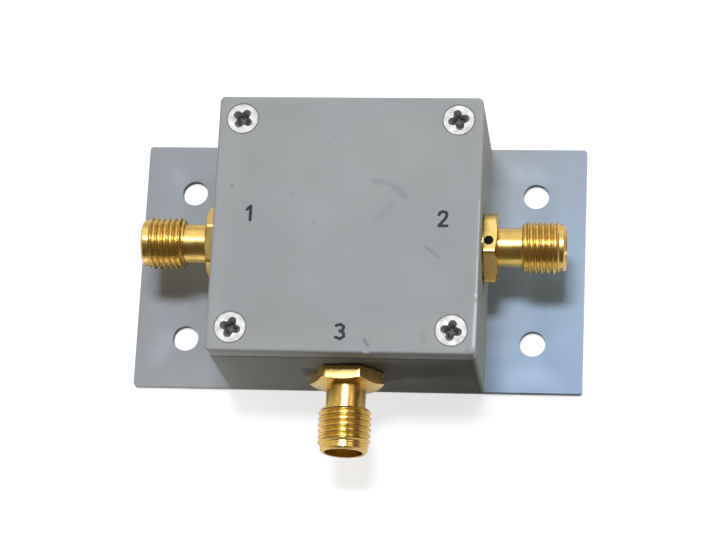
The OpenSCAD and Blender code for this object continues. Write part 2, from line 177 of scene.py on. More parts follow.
def spread(tree, share, low, high, start=0.3, end=0.7):
    """Turns a number that runs from start to end, as most noise does, into one from low to high."""
    return add(tree, "ShaderNodeMapRange", {"Value": share, "From Min": start, "From Max": end,
                                            "To Min": low, "To Max": high}).outputs["Result"]


def blend_colours(tree, share, first, second):
    """Mixes two colours, each a list of three values or a socket."""
    first, second = [colour if isinstance(colour, bpy.types.NodeSocket) else (*colour, 1)
                     for colour in (first, second)]
    node = add(tree, "ShaderNodeMix", {"Factor": share, MIX_FIRST: first, MIX_SECOND: second},
               data_type="RGBA")
    return node.outputs[MIX_RESULT]


def raise_surface(tree, shader, height, depth):
    """Gives the shader a bump from a height between 0 and 1, depth millimetres tall."""
    bump = add(tree, "ShaderNodeBump", {"Height": height, "Distance": depth * MM, "Strength": 1.0})
    tree.links.new(bump.outputs["Normal"], shader.inputs["Normal"])


print("a screen's grey of 128 is", round(seen(128, 128, 128)[0], 3), "in a shader")

# %% [markdown]
# Marks on the paint
#
# The paint carries a faint curved smear, a short scratch, a few specks, some chips, a painted
# highlight and painted shade. Painting them by hand would need an image. Each is instead a capsule:
# everything within a set distance of a short line between two points, with a soft rim, measured in
# the part's own coordinates.

# %% Mark group
def build_mark_group():
    """A node group that is 1 on a capsule from Start to End and falls to 0 over Softness."""
    group, given = new_tree(
        "paint_mark", "ShaderNodeTree",
        {"Place": "Vector", "Start": "Vector", "End": "Vector", "Radius": "Float", "Softness": "Float"},
        {"Mask": "Float"})

    def vector(operation, *sockets):
        node = add(group, "ShaderNodeVectorMath", dict(enumerate(sockets)), operation=operation)
        return node.outputs["Value" if operation in ("DOT_PRODUCT", "LENGTH") else "Vector"]

    along = vector("SUBTRACT", given["End"], given["Start"])
    reach = vector("SUBTRACT", given["Place"], given["Start"])
    share = calculate(group, "DIVIDE", vector("DOT_PRODUCT", reach, along),
                      vector("DOT_PRODUCT", along, along), use_clamp=True)
    nearest = add(group, "ShaderNodeVectorMath", {0: along, "Scale": share}, operation="SCALE")
    gap = vector("LENGTH", vector("SUBTRACT", reach, nearest.outputs["Vector"]))
    past = calculate(group, "SUBTRACT", gap, given["Radius"])
    fall = calculate(group, "DIVIDE", past, given["Softness"], use_clamp=True)
    add(group, "NodeGroupOutput", {"Mask": calculate(group, "SUBTRACT", 1.0, fall)})
    return group


mark_group = build_mark_group()


def marks(tree, where, capsules):
    """The strongest of several marks, each (start, end, radius, softness, strength) in millimetres."""
    strongest = None
    for start, end, radius, softness, strength in capsules:
        mark = add(tree, "ShaderNodeGroup", {
            "Place": where, "Start": [value * MM for value in start], "End": [value * MM for value in end],
            "Radius": radius * MM, "Softness": softness * MM}, node_tree=mark_group)
        scaled = calculate(tree, "MULTIPLY", mark.outputs[0], strength)
        strongest = scaled if strongest is None else calculate(tree, "MAXIMUM", strongest, scaled)
    return strongest


print("nodes in the mark group:", len(mark_group.nodes))

# %% [markdown]
# Grey finish of the box, the cover and the bracket
#
# All three are aluminium under a thin satin grey coat, with a tooth too fine to see from a step
# away. Bare metal could be tried, but the photograph shows an even grey with no streaks. So the
# coat isn't metallic. Each piece has a grey of its own, as it does in the photograph, and the greys
# also carry painted light and shade: the box's walls are painted darker than the cover's face.

# %% Coat colours
COVER_GREY = seen(174, 174, 166)
# Darker than the cover's grey, partly as painted shade on the walls.
BOX_GREY = seen(146, 148, 142)
BRACKET_GREY = seen(165, 168, 165)
# Painted bluish light on the bracket's right front, in place of its grey.
BRACKET_BLUE_LIGHT = seen(168, 194, 216)
SMUDGE = seen(104, 108, 108)
# Dark colour of the painted shade at the seam and beside the front flange, and of a streak on the right wall.
SHADE_AND_MARK_DARK = seen(44, 45, 42)
# Bare metal of two chips, also used for the painted highlight along the cover's right edge.
BARE_METAL_AND_HIGHLIGHT = seen(222, 228, 232)
INK = seen(26, 30, 34)
print("cover, box and bracket grey:", [round(grey[1], 3) for grey in (COVER_GREY, BOX_GREY, BRACKET_GREY)])

# %% [markdown]
# Where the paint is marked
#
# The cover has been handled: it has smears and specks on its face and two chips in its paint. Its
# right edge carries a painted highlight, and its seam a dark line of painted shade. Noise could
# scatter such marks, but then none would fall where the real one does, so each is listed with its
# own place. A point is (x, y) on the cover and (x, y, z) elsewhere, in mm.

# %% Wear and dirt
EDGE_INSET = 0.09    # how far the middle of the cover's rounded edge lies inside its corner
EDGE_X, EDGE_Z = WALL_X - EDGE_INSET, COVER_TOP - EDGE_INSET


def on_cover(points, radius, softness, strength):
    """Capsules along a line of (x, y) points on the cover's face."""
    return [((*start, COVER_TOP), (*end, COVER_TOP), radius, softness, strength)
            for start, end in zip(points, points[1:])]


curved_smear = (on_cover([(3.1, 5.2), (5.0, 5.0), (6.2, 4.2), (7.0, 3.4)], 0.10, 0.50, 0.32)
                + on_cover([(5.4, 2.1), (3.9, 0.4)], 0.10, 0.70, 0.15))
scratch = on_cover([(9.56, -2.76), (11.26, -4.09)], 0.03, 0.28, 0.45)
specks = (on_cover([(-13.92, 4.44), (-13.80, 4.46)], 0.08, 0.25, 0.50)
          + on_cover([(-6.68, 3.64), (-6.60, 3.64)], 0.06, 0.28, 0.30)
          + on_cover([(-3.83, -0.08), (-3.83, 0.08)], 0.06, 0.30, 0.30)
          + on_cover([(-1.73, 10.60), (-1.66, 10.60)], 0.05, 0.25, 0.30))
front_edge_spots = (on_cover([(2.9, -14.3), (3.3, -14.9)], 0.08, 0.30, 0.70)
                    + on_cover([(9.6, -13.4), (9.9, -14.3)], 0.10, 0.50, 0.25)
                    + on_cover([(14.9, -15.3), (15.3, -15.6)], 0.05, 0.25, 0.50))
cover_smears = curved_smear + scratch + specks + front_edge_spots
chips_and_edge_highlight = [    # start, end, radius, softness and strength of each
    # Two chips of wear, down to bare metal.
    ((3.0, -EDGE_X, EDGE_Z), (3.4, -EDGE_X, EDGE_Z - 0.1), 0.12, 0.12, 1.0),
    ((EDGE_X, -8.6, EDGE_Z), (EDGE_X, -8.8, EDGE_Z - 0.1), 0.16, 0.14, 1.0),
    # Painted highlight: lines along the cover's rounded right edge, where it catches the light.
    ((EDGE_X, -9.0, EDGE_Z), (EDGE_X, -3.8, EDGE_Z), 0.04, 0.14, 0.75),
    ((EDGE_X - 0.12, -14.8, COVER_TOP), (EDGE_X, -9.6, EDGE_Z), 0.08, 0.20, 0.85),
    ((EDGE_X, -3.8, EDGE_Z), (EDGE_X, 3.0, EDGE_Z), 0.03, 0.12, 0.5),
]
# Painted shade: a dark line all round at the seam between the cover and the box.
seam_shade = [((x0 * WALL_X, y0 * WALL_X, RIM_Z), (x1 * WALL_X, y1 * WALL_X, RIM_Z), 0.10, 0.22, 0.85)
             for x0, y0, x1, y1 in ((-1, -1, 1, -1), (1, -1, 1, 1), (1, 1, -1, 1), (-1, 1, -1, -1))]
wall_shade_and_marks = seam_shade + [
    # A dark streak on the right wall beside the right jack's flange.
    ((WALL_X, 3.4, 12.7), (WALL_X, 5.4, 10.4), 0.12, 0.40, 0.9),
    # Painted shadow of the front jack's flange on the front wall.
    ((-4.9, -WALL_X, 8.3), (-4.7, -WALL_X, 11.3), 0.25, 0.60, 0.8),
]
print("smears, chips and wall marks:", len(cover_smears), len(chips_and_edge_highlight), len(wall_shade_and_marks))

# %% [markdown]
# Numbers beside the jacks
#
# Each port carries a printed number. The strokes of 1, 2 and 3 are drawn with the same capsules as
# the marks, so they need no text object and no picture, and ink and paint share one surface.

# %% Port numbers
STROKE = (0.15, 0.07, 1.0)    # radius, soft rim and strength of a stroke
stroke_lines = (
    [(-11.80, 1.55), (-11.38, 1.95), (-11.38, 0.22)],
    [(11.08, 1.12), (11.22, 1.42), (11.56, 1.52), (11.92, 1.40), (12.02, 1.02), (11.80, 0.60),
     (11.08, -0.25), (12.06, -0.25)],
    [(-0.44, -12.62), (0.03, -12.44), (0.44, -12.72), (0.36, -13.10), (0.00, -13.27),
     (0.42, -13.46), (0.50, -13.90), (0.06, -14.22), (-0.48, -14.02)],
)
port_numbers = [stroke for points in stroke_lines for stroke in on_cover(points, *STROKE)]
print("strokes in the port numbers:", len(port_numbers))

# %% [markdown]
# One coat for three pieces
#
# The same kind of coat covers all three pieces, so one function makes it: a slow drift of tone, then
# the layers of dirt, painted shade, ink, wear and painted highlight, and last an uneven gloss and the
# fine tooth. Three materials drawn by hand would soon differ. Dirt and painted shade are broken up
# by a finer noise, so they look uneven. The bracket also turns bluer towards its right front corner,
# as it does in the photograph: a painted bluish light in the coat's colour.

# %% Grey coats
DRIFT_SIZE, GLOSS_SIZE, BROKEN_SIZE = 14, 5, 0.5
TOOTH_SIZE, TOOTH_DEPTH = 0.16, 0.003
DRIFT_SHADE = 0.94       # how dark the drift of tone gets
BROKEN_SHARE = 0.55      # what is left of a mark where it is broken up most
# Painted light: the bracket's coat turns bluish towards its right front corner, fully so at this many metres
# of x - y.
TO_RIGHT_FRONT = (1, -1, 0)
BLUE_LIGHT_END = 0.034         # metres of x - y at which the bracket is fully cool


def grey_coat(name, colour, gloss, shine, layers=(), blue_light_colour=None):
    """Satin grey coat on aluminium.

    gloss is the range of its roughness and shine how strongly it mirrors. Each layer is (capsules,
    colour, whether it is broken up). The colour given for the right front, if any, takes over there:
    a painted bluish light."""
    material, tree, shader, where = new_finish(name, colour, 0.5)
    shader.inputs["Specular IOR Level"].default_value = shine
    darker = [value * DRIFT_SHADE for value in colour]
    tone = blend_colours(tree, spread(tree, grain(tree, where, DRIFT_SIZE), 0.0, 1.0), colour, darker)
    if blue_light_colour:
        # Painted bluish light, mixed into the coat towards the right front.
        reach = add(tree, "ShaderNodeVectorMath", {0: where, 1: TO_RIGHT_FRONT}, operation="DOT_PRODUCT")
        blue_light_share = spread(tree, reach.outputs["Value"], 0.0, 1.0, 0.0, BLUE_LIGHT_END)
        tone = blend_colours(tree, blue_light_share, tone, blue_light_colour)
    broken = spread(tree, grain(tree, where, BROKEN_SIZE), BROKEN_SHARE, 1.0)
    for capsules, layer_colour, is_broken in layers:
        mask = marks(tree, where, capsules)
        if is_broken:
            mask = calculate(tree, "MULTIPLY", mask, broken)
        tone = blend_colours(tree, mask, tone, layer_colour)
    tree.links.new(tone, shader.inputs["Base Color"])
    tree.links.new(spread(tree, grain(tree, where, GLOSS_SIZE), *gloss), shader.inputs["Roughness"])
    raise_surface(tree, shader, grain(tree, where, TOOTH_SIZE, 2.0), TOOTH_DEPTH)
    return material


cover_coat = grey_coat("cover_coat", COVER_GREY, (0.46, 0.56), 0.3, [
    (cover_smears, SMUDGE, True), (seam_shade, SHADE_AND_MARK_DARK, True), (port_numbers, INK, False),
    (chips_and_edge_highlight, BARE_METAL_AND_HIGHLIGHT, False)])
box_coat = grey_coat("box_coat", BOX_GREY, (0.42, 0.50), 0.05, [(wall_shade_and_marks, SHADE_AND_MARK_DARK, True)])
bracket_coat = grey_coat("bracket_coat", BRACKET_GREY, (0.42, 0.54), 0.5, blue_light_colour=BRACKET_BLUE_LIGHT)
print("grey coats made:", cover_coat.name, box_coat.name, bracket_coat.name)

# %% [markdown]
# Metals: gold plate, copper, solder, enamelled wire
#
# A metal shows the room more than itself, so its colour matters less than its gloss. The jacks are
# turned on a lathe and then plated: very fine rings run round them under the gold. The rings could
# be modelled, but at a few thousandths of a millimetre they are a bump instead. It reads the radius
# and the height of each point, which are stored on the jack's mesh, so the rings follow the lathe.

# %% Metal finishes
METAL_SHADE = 0.8        # how dark the clouds in a metal get
GLOSS_DRIFT = 0.08
GRAINS_PER_CLOUD = 8
RING_SIZE, RING_DEPTH = 0.12, 0.003
GOLD = seen(238, 198, 112)


def plain_metal(name, colour, roughness, cloud_size, depth=0.002):
    """Plated or bare metal with cloudy gloss and a faint grain; cloud_size and depth are in mm."""
    material, tree, shader, where = new_finish(name, colour, roughness, metallic=1.0)
    cloud = grain(tree, where, cloud_size)
    tree.links.new(spread(tree, cloud, roughness - GLOSS_DRIFT / 2, roughness + GLOSS_DRIFT),
                   shader.inputs["Roughness"])
    darker = [value * METAL_SHADE for value in colour]
    tone = blend_colours(tree, spread(tree, cloud, 0.0, 0.5), colour, darker)
    tree.links.new(tone, shader.inputs["Base Color"])
    raise_surface(tree, shader, grain(tree, where, cloud_size / GRAINS_PER_CLOUD), depth)
    return material, tree, shader


jack_gold, gold_tree, gold_shader = plain_metal("jack_gold", GOLD, 0.27, 1.5)
lathe_place = add(gold_tree, "ShaderNodeAttribute", attribute_name="turned").outputs["Vector"]
raise_surface(gold_tree, gold_shader, grain(gold_tree, lathe_place, RING_SIZE, 2.0), RING_DEPTH)
contact_gold = plain_metal("contact_gold", seen(242, 205, 120), 0.18, 0.8)[0]
track_copper = plain_metal("track_copper", seen(205, 130, 86), 0.32, 0.9)[0]
solder_tin = plain_metal("solder_tin", seen(200, 203, 206), 0.28, 0.4, depth=0.01)[0]
wire_enamel = plain_metal("wire_enamel", seen(176, 88, 48), 0.20, 0.6)[0]
print("nodes in the jacks' gold:", len(gold_tree.nodes))

# %% [markdown]
# Nickel screws with painted shade in their recesses
#
# The screws are plated with nickel and dulled by handling. Their recesses are painted nearly black,
# as painted shade. A second material could fill the recess, but its border would be as sharp as a
# face's edge. Here each point of a screw's mesh says how deep it is sunk, and the nickel fades to
# the painted shade by that.

# %% Screw nickel
# Painted shade: the colour that fills the screws' recesses.
RECESS_SHADE = seen(36, 37, 37)
screw_nickel, nickel_tree, nickel_shader = plain_metal("screw_nickel", seen(213, 209, 200), 0.60, 0.8)
sunk = add(nickel_tree, "ShaderNodeAttribute", attribute_name="sunk").outputs["Fac"]
nickel_tone = nickel_shader.inputs["Base Color"].links[0].from_socket
# The deeper a point is sunk, the more the nickel turns to the painted shade and stops being metal.
nickel_tree.links.new(blend_colours(nickel_tree, sunk, nickel_tone, RECESS_SHADE),
                      nickel_shader.inputs["Base Color"])
nickel_tree.links.new(calculate(nickel_tree, "SUBTRACT", 1.0, sunk), nickel_shader.inputs["Metallic"])
print("nodes in the screws' nickel:", len(nickel_tree.nodes))

# %% [markdown]
# Insulators, epoxy, board and ferrite
#
# The inner pieces only show when the cover is off or down a jack's mouth, but each gets its own
# finish all the same: waxy white insulators, dull black epoxy, green board, sooty ferrite.

# %% Insulating finishes
MOULD_GLOSS = (0.85, 1.15)    # range of the roughness, as shares of its middle value
GRAINS_PER_BLOTCH = 4
EPOXY_SHINE = 0.12


def moulded(name, colour, roughness, blotch_size, depth, shade_share=0.85):
    """Plastic, resin or ceramic: mottled colour, uneven gloss and a fine skin; sizes are in mm."""
    material, tree, shader, where = new_finish(name, colour, roughness)
    blotch = grain(tree, where, blotch_size)
    darker = [value * shade_share for value in colour]
    tree.links.new(blend_colours(tree, spread(tree, blotch, 0.0, 1.0), colour, darker),
                   shader.inputs["Base Color"])
    tree.links.new(spread(tree, blotch, *[roughness * share for share in MOULD_GLOSS]),
                   shader.inputs["Roughness"])
    raise_surface(tree, shader, grain(tree, where, blotch_size / GRAINS_PER_BLOTCH), depth)
    return material, shader


insulator_white = moulded("insulator_white", seen(240, 237, 228), 0.38, 1.0, 0.003, 0.93)[0]
epoxy_black, epoxy_shader = moulded("epoxy_black", seen(24, 24, 21), 0.62, 0.4, 0.01, 0.6)
epoxy_shader.inputs["Specular IOR Level"].default_value = EPOXY_SHINE
board_green = moulded("board_green", seen(52, 105, 74), 0.35, 2.0, 0.004)[0]
ferrite_grey = moulded("ferrite_grey", seen(62, 62, 65), 0.68, 0.3, 0.012)[0]
package_black = moulded("package_black", seen(42, 43, 47), 0.48, 0.3, 0.004)[0]
print("materials so far:", len(bpy.data.materials))

# %% [markdown]
# A finish for every node
#
# The CAD nodes arrive in the flat colours of the CAD model. Changing them one by one would be easy
# to get wrong, so one table says which finish each node has, and a loop hands them out.

# %% Finish the CAD nodes
node_finishes = {
    "housing": box_coat, "cover_plate": cover_coat, "mounting_bracket": bracket_coat,
    "cover_screws": screw_nickel, "bracket_screws": screw_nickel, "board_screws": screw_nickel,
    "circuit_board": board_green, "board_tracks": track_copper, "solder_joints": solder_tin,
    "lo_core": ferrite_grey, "rf_core": ferrite_grey, "lo_winding": wire_enamel,
    "rf_winding": wire_enamel, "diode_quad": package_black, "diode_leads": contact_gold,
}
for port in ("lo", "rf", "if"):
    node_finishes[port + "_jack_body"] = jack_gold
    node_finishes[port + "_jack_dielectric"] = insulator_white
    node_finishes[port + "_jack_contact"] = contact_gold
    node_finishes[port + "_jack_epoxy"] = epoxy_black
for name, finish in node_finishes.items():
    nodes[name].data.materials.clear()
    nodes[name].data.materials.append(finish)
print("finished nodes:", len(node_finishes), "of", len(nodes))

# %% [markdown]
# Geometry Nodes: one tree for every thread
#
# The jacks' thread is fine for their size, and the screws' is coarse for theirs. A thread could be
# swept along a helix, but its ends are then hard to fade out. Here a flat grid is rolled up
# instead: each row of the grid climbs by one pitch per turn, and the row's number says how far it
# stands off the root. At both ends the height is held, so the first and the last rows shrink to
# plain rings.

# %% Thread tree
ROWS_PER_TURN = 16
ROOT_SHARE = 0.25      # share of the pitch that is flat at the root
FLANK_SHARE = 0.625    # share of its two flanks; what is left is the flat crest


def end_tree(tree, geometry, finish):
    """Makes instances real, gives them the finish and hands the geometry out."""
    whole = add(tree, "GeometryNodeRealizeInstances", {"Geometry": geometry})
    done = add(tree, "GeometryNodeSetMaterial", {"Geometry": whole.outputs[0], "Material": finish})
    add(tree, "NodeGroupOutput", {"Geometry": done.outputs[0]})


def build_thread_tree():
    """Thread round +Z from z = 0, as an open sleeve that starts and ends at the root radius."""
    tree, given = new_tree(
        "turned_thread", "GeometryNodeTree",
        {"Geometry": "Geometry", "Root Radius": "Float", "Depth": "Float", "Pitch": "Float",
         "Length": "Float", "Columns": "Int", "Finish": "Material"},
        {"Geometry": "Geometry"})

    def sum_up(operation, *values, **settings):
        return calculate(tree, operation, *values, **settings)

    climb = sum_up("CEIL", sum_up("ADD", sum_up("DIVIDE", given["Length"], given["Pitch"]), 1.0))
    rows = sum_up("ADD", sum_up("MULTIPLY", climb, ROWS_PER_TURN), 1.0)
    grid = add(tree, "GeometryNodeMeshGrid", {"Size X": 1.0, "Size Y": 1.0, "Vertices Y": rows,
                                              "Vertices X": sum_up("ADD", given["Columns"], 1.0)})
    flat = add(tree, "ShaderNodeSeparateXYZ", {0: add(tree, "GeometryNodeInputPosition").outputs[0]}).outputs
    turn = sum_up("ADD", flat["X"], 0.5)
    row = sum_up("SUBTRACT", sum_up("MULTIPLY", sum_up("ADD", flat["Y"], 0.5), climb), 1.0)
    climbed = sum_up("MULTIPLY", sum_up("ADD", row, turn), given["Pitch"])
    height = sum_up("MAXIMUM", sum_up("MINIMUM", climbed, given["Length"]), 0.0)
    wave = sum_up("ABSOLUTE", sum_up("SUBTRACT", sum_up("MULTIPLY", sum_up("FRACT", row), 2.0), 1.0))
    lift = sum_up("DIVIDE", sum_up("SUBTRACT", wave, ROOT_SHARE), FLANK_SHARE, use_clamp=True)
    fade = sum_up("MINIMUM", height, sum_up("SUBTRACT", given["Length"], height))
    rise = sum_up("MINIMUM", sum_up("MULTIPLY", lift, given["Depth"]), fade)
    radius = sum_up("ADD", given["Root Radius"], rise)
    angle = sum_up("MULTIPLY", turn, TURN)
    place = add(tree, "ShaderNodeCombineXYZ", {"X": sum_up("MULTIPLY", radius, sum_up("COSINE", angle)),
                                               "Y": sum_up("MULTIPLY", radius, sum_up("SINE", angle)),
                                               "Z": height})
    rolled = add(tree, "GeometryNodeSetPosition", {"Geometry": grid.outputs["Mesh"],
                                                   "Position": place.outputs[0]})
    end_tree(tree, rolled.outputs[0], given["Finish"])
    return tree


thread_tree = build_thread_tree()
print("nodes in the thread tree:", len(thread_tree.nodes))

# %% [markdown]
# From a tree to a plain mesh
#
# A tree makes its geometry only while its modifier is live, and a modifier can't be merged point for
# point with other faces. So the tree runs on a stand-in object, its result is copied into a plain
# mesh, and the stand-in goes. The modifier's inputs are set by their identifiers, because that is
# what Blender stores them under.

# %% Run a tree
def plain_mesh(piece):
    """A plain mesh of what an object's modifiers make."""
    return bpy.data.meshes.new_from_object(piece.evaluated_get(bpy.context.evaluated_depsgraph_get()))


def run_tree(mesh, tree, values):
    """Runs a Geometry Nodes tree on a mesh and returns the plain mesh that it makes."""
    holder = new_object(mesh.name, mesh)
    modifier = holder.modifiers.new("nodes", "NODES")
    modifier.node_group = tree
    for socket in tree.interface.items_tree:
        if socket.in_out == "INPUT" and socket.name in values:
            modifier[socket.identifier] = values[socket.name]
    made = plain_mesh(holder)
    bpy.data.objects.remove(holder)
    return made


def thread_sleeve(root_radius, depth, pitch, length, columns, finish):
    """A thread as a mesh, from z = 0 to length, all in millimetres."""
    sleeve = run_tree(bpy.data.meshes.new("thread"), thread_tree, {
        "Root Radius": root_radius * MM, "Depth": depth * MM, "Pitch": pitch * MM,
        "Length": length * MM, "Columns": columns, "Finish": finish})
    print("thread of", round(length / pitch, 1), "turns, faces:", len(sleeve.polygons))
    return sleeve


# %% [markdown]
# Turned bodies
#
# A jack and a screw are both turned on a lathe, so each is drawn as half a section and spun round.
# Blender's Screw modifier does that too, but here the spun rings have to meet the thread's own
# rings point for point. The rings are made in code and then merged with the thread's.

# %% Spinning helpers
def on_ring(radius, z, angle):
    """The point at a radius and a height in mm, and at an angle in radians round Z."""
    return radius * MM * math.cos(angle), radius * MM * math.sin(angle), z * MM


def spin(work, section, columns):
    """Adds the faces of an open section, a list of (radius, z) in mm, spun about Z, to a bmesh."""
    angles = [TURN * k / columns for k in range(columns)]
    rings = []
    for radius, z in section:
        if radius == 0:
            rings.append([work.verts.new((0, 0, z * MM))] * columns)
        else:
            rings.append([work.verts.new(on_ring(radius, z, angle)) for angle in angles])
    for low, high in zip(rings, rings[1:]):
        for k in range(columns):
            corners = [low[k], low[(k + 1) % columns], high[(k + 1) % columns], high[k]]
            work.faces.new(list(dict.fromkeys(corners)))


def add_mesh(work, mesh, shift):
    """Moves a mesh up by shift millimetres and adds its faces to a bmesh."""
    mesh.transform(Matrix.Translation((0, 0, shift * MM)))
    work.from_mesh(mesh)
    bpy.data.meshes.remove(mesh)


trial = bmesh.new()
spin(trial, [(0, 0), (1, 0), (1, 1), (0, 1)], 12)
print("a disc in 12 columns has faces:", len(trial.faces))
trial.free()

# %% [markdown]
# From loose faces to a finished piece
#
# Rings that only lie on each other aren't joined yet: the light would show a seam, and a Boolean
# would fail. So doubles are merged and all faces turned outwards before anything else. Shading is
# smooth on turned faces and sharp at edges, found by the angle between two faces.

# %% Finishing helpers
MERGE_DISTANCE, SPENT_DISTANCE = 0.0005, 0.0002


def close_up(work, name, finish):
    """Merges a bmesh's doubles, drops its spent faces, turns the rest outwards, makes an object."""
    bmesh.ops.remove_doubles(work, verts=work.verts, dist=MERGE_DISTANCE * MM)
    bmesh.ops.dissolve_degenerate(work, edges=work.edges, dist=SPENT_DISTANCE * MM)
    bmesh.ops.recalc_face_normals(work, faces=work.faces)
    open_edges = sum(1 for edge in work.edges if not edge.is_manifold)
    mesh = bpy.data.meshes.new(name)
    work.to_mesh(mesh)
    work.free()
    mesh.materials.clear()
    mesh.materials.append(finish)
    print(name, "faces:", len(mesh.polygons), "open edges:", open_edges)
    return new_object(name, mesh)


def cut_and_join(piece, steps):
    """Applies a list of (operation, other object) to a piece and removes the other objects."""
    for operation, other in steps:
        modifier = piece.modifiers.new(operation.lower(), "BOOLEAN")
        modifier.operation = operation
        modifier.object = other
        modifier.solver = "EXACT"
    mesh = plain_mesh(piece)
    piece.modifiers.clear()
    piece.data = mesh
    for _, other in steps:
        bpy.data.objects.remove(other)
    print(piece.name, "faces after its cuts:", len(mesh.polygons))


def shade(mesh, angle=30, soft=None):
    """Shades a mesh smooth, with a sharp edge at each bend over angle degrees.

    soft, if given, says of a point whether its edges stay smooth whatever they bend by."""
    mesh.shade_smooth()
    mesh.set_sharp_from_angle(angle=math.radians(angle))
    if soft:
        sharp = mesh.attributes["sharp_edge"].data
        for edge in mesh.edges:
            if sharp[edge.index].value and all(soft(mesh.vertices[v].co) for v in edge.vertices):
                sharp[edge.index].value = False


# %% [markdown]
# Sizes of a jack
#
# A jack is drawn along its own axis, with z = 0 on the wall. These are the CAD model's sizes, with
# the depth and the pitch of the real thread added. Only the nose is 0.1 mm thicker here, because it
# carries on from the root of the thread. Places along the axis are worked out from the lengths of
# the jack's parts, so a longer neck would shorten the thread and change nothing else.

# %% Jack sizes
JACK_Z = (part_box("mounting_bracket")[1].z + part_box("cover_plate")[1].z) / 2 / MM
JACK_LENGTH = 9.9
SEAT_R, SEAT_T = 3.75, 0.15
HEX_AF, FLANGE_T = 7.94, 1.8
NECK_R, NECK_L = 2.375, 2.9
THREAD_R, THREAD_ROOT_R, THREAD_PITCH = 3.175, 2.85, 0.7056
NOSE_L = 0.75
MOUTH_R, MOUTH_L = 2.3, 1.9
BORE_R, BORE_L, REAR_BORE_R = 2.06, 2.4, 1.66
ROOT_L = 3.0
EPOXY_R, EPOXY_Z, EPOXY_TURN = 0.575, 0.8, 41.4
THREAD_Z = FLANGE_T + NECK_L
NOSE_Z = JACK_LENGTH - NOSE_L
MOUTH_Z = JACK_LENGTH - MOUTH_L
BORE_STEP_Z = MOUTH_Z - BORE_L
print("thread from", round(THREAD_Z, 2), "to", round(NOSE_Z, 2), "mm, mouth down to", round(MOUTH_Z, 2))

# %% [markdown]
# Jack bodies
#
# Each jack is one turned and milled piece: a round seat, a hexagon for the spanner, a plain neck,
# the thread and a short nose round the mouth. The hexagon's front corners are turned off by a
# cone, so their faces end in curves. It is made as its own solid and joined by a Boolean, and
# another Boolean drills the cross hole that is later filled with epoxy.

# %% Hexagon
HEX_TURNED = 0.1             # how far inside the flats the cone at the front starts
HEX_FACE_R = HEX_AF / 2 - HEX_TURNED
HEX_SLOPE = 25               # slope of that cone, in degrees
HEX_CORNER_BEVEL = 0.05      # how far a corner is blunted
HEX_BLUNT_ANGLE = 1.55       # degrees from a corner to where its flat starts
HEX_BACK_BREAK = 0.06
HEX_STEP = 5                 # degrees from one point of a flat to the next


def flat_radius(angle):
    """How far the hexagon's side lies from the axis, at an angle in degrees from a corner."""
    return min(HEX_AF / 2 / math.cos(math.radians(angle % 60 - 30)),
               HEX_AF / 2 / math.cos(math.radians(30)) - HEX_CORNER_BEVEL)


def hexagon(name, finish):
    """Hexagonal flange with its outer corners turned off, as a thick ring round the neck."""
    work = bmesh.new()
    angles = [60 * corner + step for corner in range(6)
              for step in (0, HEX_BLUNT_ANGLE, *range(HEX_STEP, 60, HEX_STEP), 60 - HEX_BLUNT_ANGLE)]
    inner_r = (NECK_R + REAR_BORE_R) / 2
    slope = math.tan(math.radians(HEX_SLOPE))

    def section(angle):
        flat = flat_radius(angle)
        return [(inner_r, SEAT_T), (flat - HEX_BACK_BREAK, SEAT_T), (flat, SEAT_T + HEX_BACK_BREAK),
                (flat, FLANGE_T - (flat - HEX_FACE_R) * slope), (HEX_FACE_R, FLANGE_T), (inner_r, FLANGE_T)]

    rings = [[work.verts.new(on_ring(*section(angle)[row], math.radians(angle))) for angle in angles]
             for row in range(len(section(0)))]
    for low, high in zip(rings, rings[1:] + rings[:1]):
        for k in range(len(angles)):
            following = (k + 1) % len(angles)
            work.faces.new((low[k], low[following], high[following], high[k]))
    return close_up(work, name, finish)


print("corner and flat radius of the hexagon, mm:", round(flat_radius(0), 3), round(flat_radius(30), 3))

# %% Jack body
JACK_COLUMNS, DRILL_COLUMNS = 96, 40
BREAK = 0.25                              # break at the ends of the threads
FINE_BREAK = 0.03                         # break at the seat and at the mouth
NOSE_BREAK_R, NOSE_BREAK_Z = 0.04, 0.02   # second, flatter break at the nose
HIDDEN_Z = FLANGE_T - 0.5                 # where the seat's cone meets the neck, inside the hexagon
SPARE = 0.02


def on_thread(co):
    """True on the thread's flanks, roots and crests, clear of its plain ends."""
    return (THREAD_Z + SPARE < co.z / MM < NOSE_Z - SPARE
            and math.hypot(co.x, co.y) / MM > THREAD_ROOT_R - SPARE)


def cross_drill():
    """The drill of the epoxy's hole, which enters the flange through one of its flats."""
    work = bmesh.new()
    place = (Matrix.Rotation(math.radians(EPOXY_TURN), 4, "Z")
             @ Matrix.Translation(Vector((HEX_AF / 2, 0, EPOXY_Z)) * MM)
             @ Matrix.Rotation(math.radians(90), 4, "Y"))
    bmesh.ops.create_cone(work, cap_ends=True, segments=DRILL_COLUMNS, radius1=EPOXY_R * MM,
                          radius2=EPOXY_R * MM, depth=HEX_AF * MM, matrix=place)
    return close_up(work, "drill", jack_gold)


